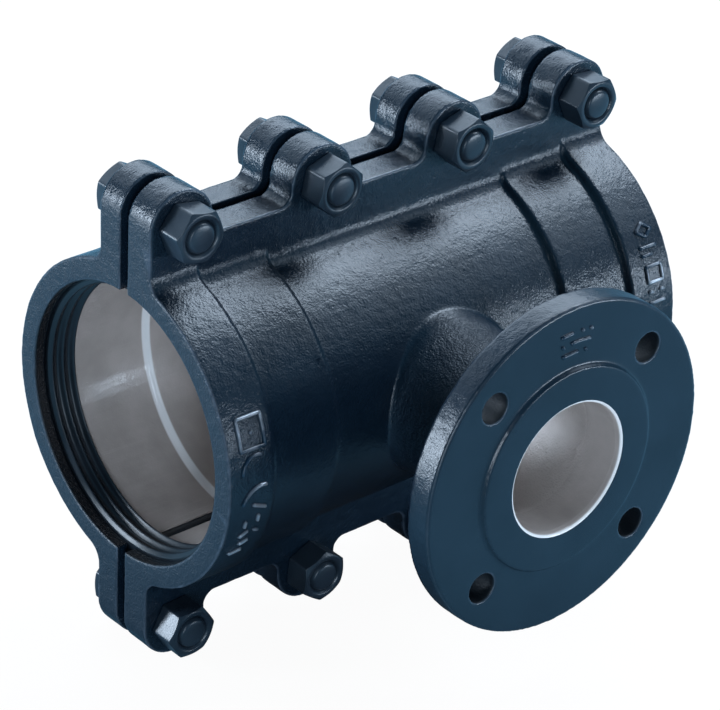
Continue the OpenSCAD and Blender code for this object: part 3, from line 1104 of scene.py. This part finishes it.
def stroke(line, place, width, height, sides=8):
    """A half-round ridge along a flat line, as points and faces; its foot is sunk in the surface."""
    line = np.array(evenly_spaced(line, 1.5 * MM))
    ahead = np.gradient(line, axis=0) if len(line) > 1 else np.array([[1.0, 0.0]])
    ahead /= np.linalg.norm(ahead, axis=1)[:, None]
    overrun, tip, sink = width * 0.45, 0.12, 0.15 * MM
    stations = [(line[0] - ahead[0] * overrun, ahead[0], tip)]
    stations += [(point, way, 1.0) for point, way in zip(line, ahead)]
    stations += [(line[-1] + ahead[-1] * overrun, ahead[-1], tip)]
    points, crests = [], []
    for (u, v), (du, dv), share in stations:
        for k in range(sides):
            a = 2 * math.pi * k / sides
            side = share * width / 2 * math.cos(a)
            points.append(place(u - dv * side, v + du * side, share * height * math.sin(a) - sink))
            crests.append(share * max(0, math.sin(a)))
    faces = between_rings(len(stations), sides)
    last = (len(stations) - 1) * sides
    faces += [tuple(range(sides)), tuple(last + k for k in range(sides))]
    return points, faces, crests


sign_coat, bare_iron = (0.006, 0.020, 0.040, 1), (0.36, 0.38, 0.41, 1)


def sign_material():
    """The coat, rubbed off the crests of the signs so that the iron shines through."""
    material, tree, shader = new_material("rubbed_coat")
    grain = add_group(tree, sand_print, Grain_Scale=900.0, Pits=0.0)
    patchy = map_range(tree, grain.outputs["Mottle"], 0.44, 0.62)
    bare = calculator(tree)("MULTIPLY", read_value(tree, "crest"), patchy)
    tree.links.new(mix_colour(tree, bare, sign_coat, bare_iron), shader.inputs["Base Color"])
    tree.links.new(map_range(tree, bare, 0, 1, 0.27, 0.3), shader.inputs["Roughness"])
    tree.links.new(map_range(tree, bare, 0, 1, 0, 0.7), shader.inputs["Metallic"])
    tree.links.new(add_bump(tree, grain.outputs["Height"], 0.1 * MM), shader.inputs["Normal"])
    return material


rubbed_coat = sign_material()


def raised_sign(name, lines, place, width=2.6 * MM, height=1.8 * MM):
    """One piece from flat lines, given in millimetres."""
    points, faces, crests = [], [], []
    for line in lines:
        more, around, rubbed = stroke([(u * MM, v * MM) for u, v in line], place, width, height)
        faces += [tuple(i + len(points) for i in face) for face in around]
        points += more
        crests += rubbed
    sign = closed_piece(name, points, faces)
    smooth(sign.data)
    keep_value(sign.data, "crest", crests)
    put_on(sign, rubbed_coat)
    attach(sign, "root")
    print(name, len(sign.data.polygons), "faces")


# %% The signs
frame_sign = [[(-9, 0), (8, 0), (8, 19), (-9, 19), (-9, 0)], [(-1, 9.5), (0, 9.5)]]
near_sign = frame_sign + [arc(1, 33, 10, 180, 290), arc(4, 56, 13, 195, 285), [(-1, 55), (8, 59)],
                          [(-5, 66), (-5, 70)], [(4, 64), (4, 68)], [(-7, 77), (-2, 74)], [(3, 75), (6, 76)],
                          [(-5, 84), (0, 82)], [(-10, 91), (-2, 90)]]
far_sign = [[(-6, 4.5), (0, 0), (6, 4.5), (0, 9), (-6, 4.5)], [(-7, 15), (6, 15)], [(-7, 20), (1, 20)],
            [(-6, 27), (6, 27), (6, 37), (-6, 37), (-6, 27)], [(-6, 43), (-3, 43)],
            [(3, 43), (6, 43)], [(-7, 50), (6, 50)]]
flange_sign = [[(-12, 3), (-3, 3)], [(4, 3), (5, 3)], [(11, 3), (12, 3)], [(-12, 9.5), (-11, 9.5)],
               [(-4, 9.5), (12, 9.5)], [(-12, 16), (2, 16)], [(9, 16), (10, 16)]]
collar_middle = sleeve_end - 18.5 * MM
raised_sign("near_cast_sign", near_sign, on_collar(-collar_middle, turn_up=25))
raised_sign("far_cast_sign", far_sign, on_collar(collar_middle + 4 * MM, turn_up=39))
raised_sign("flange_cast_sign", flange_sign, on_flange(radius=92 * MM), height=1.6 * MM)
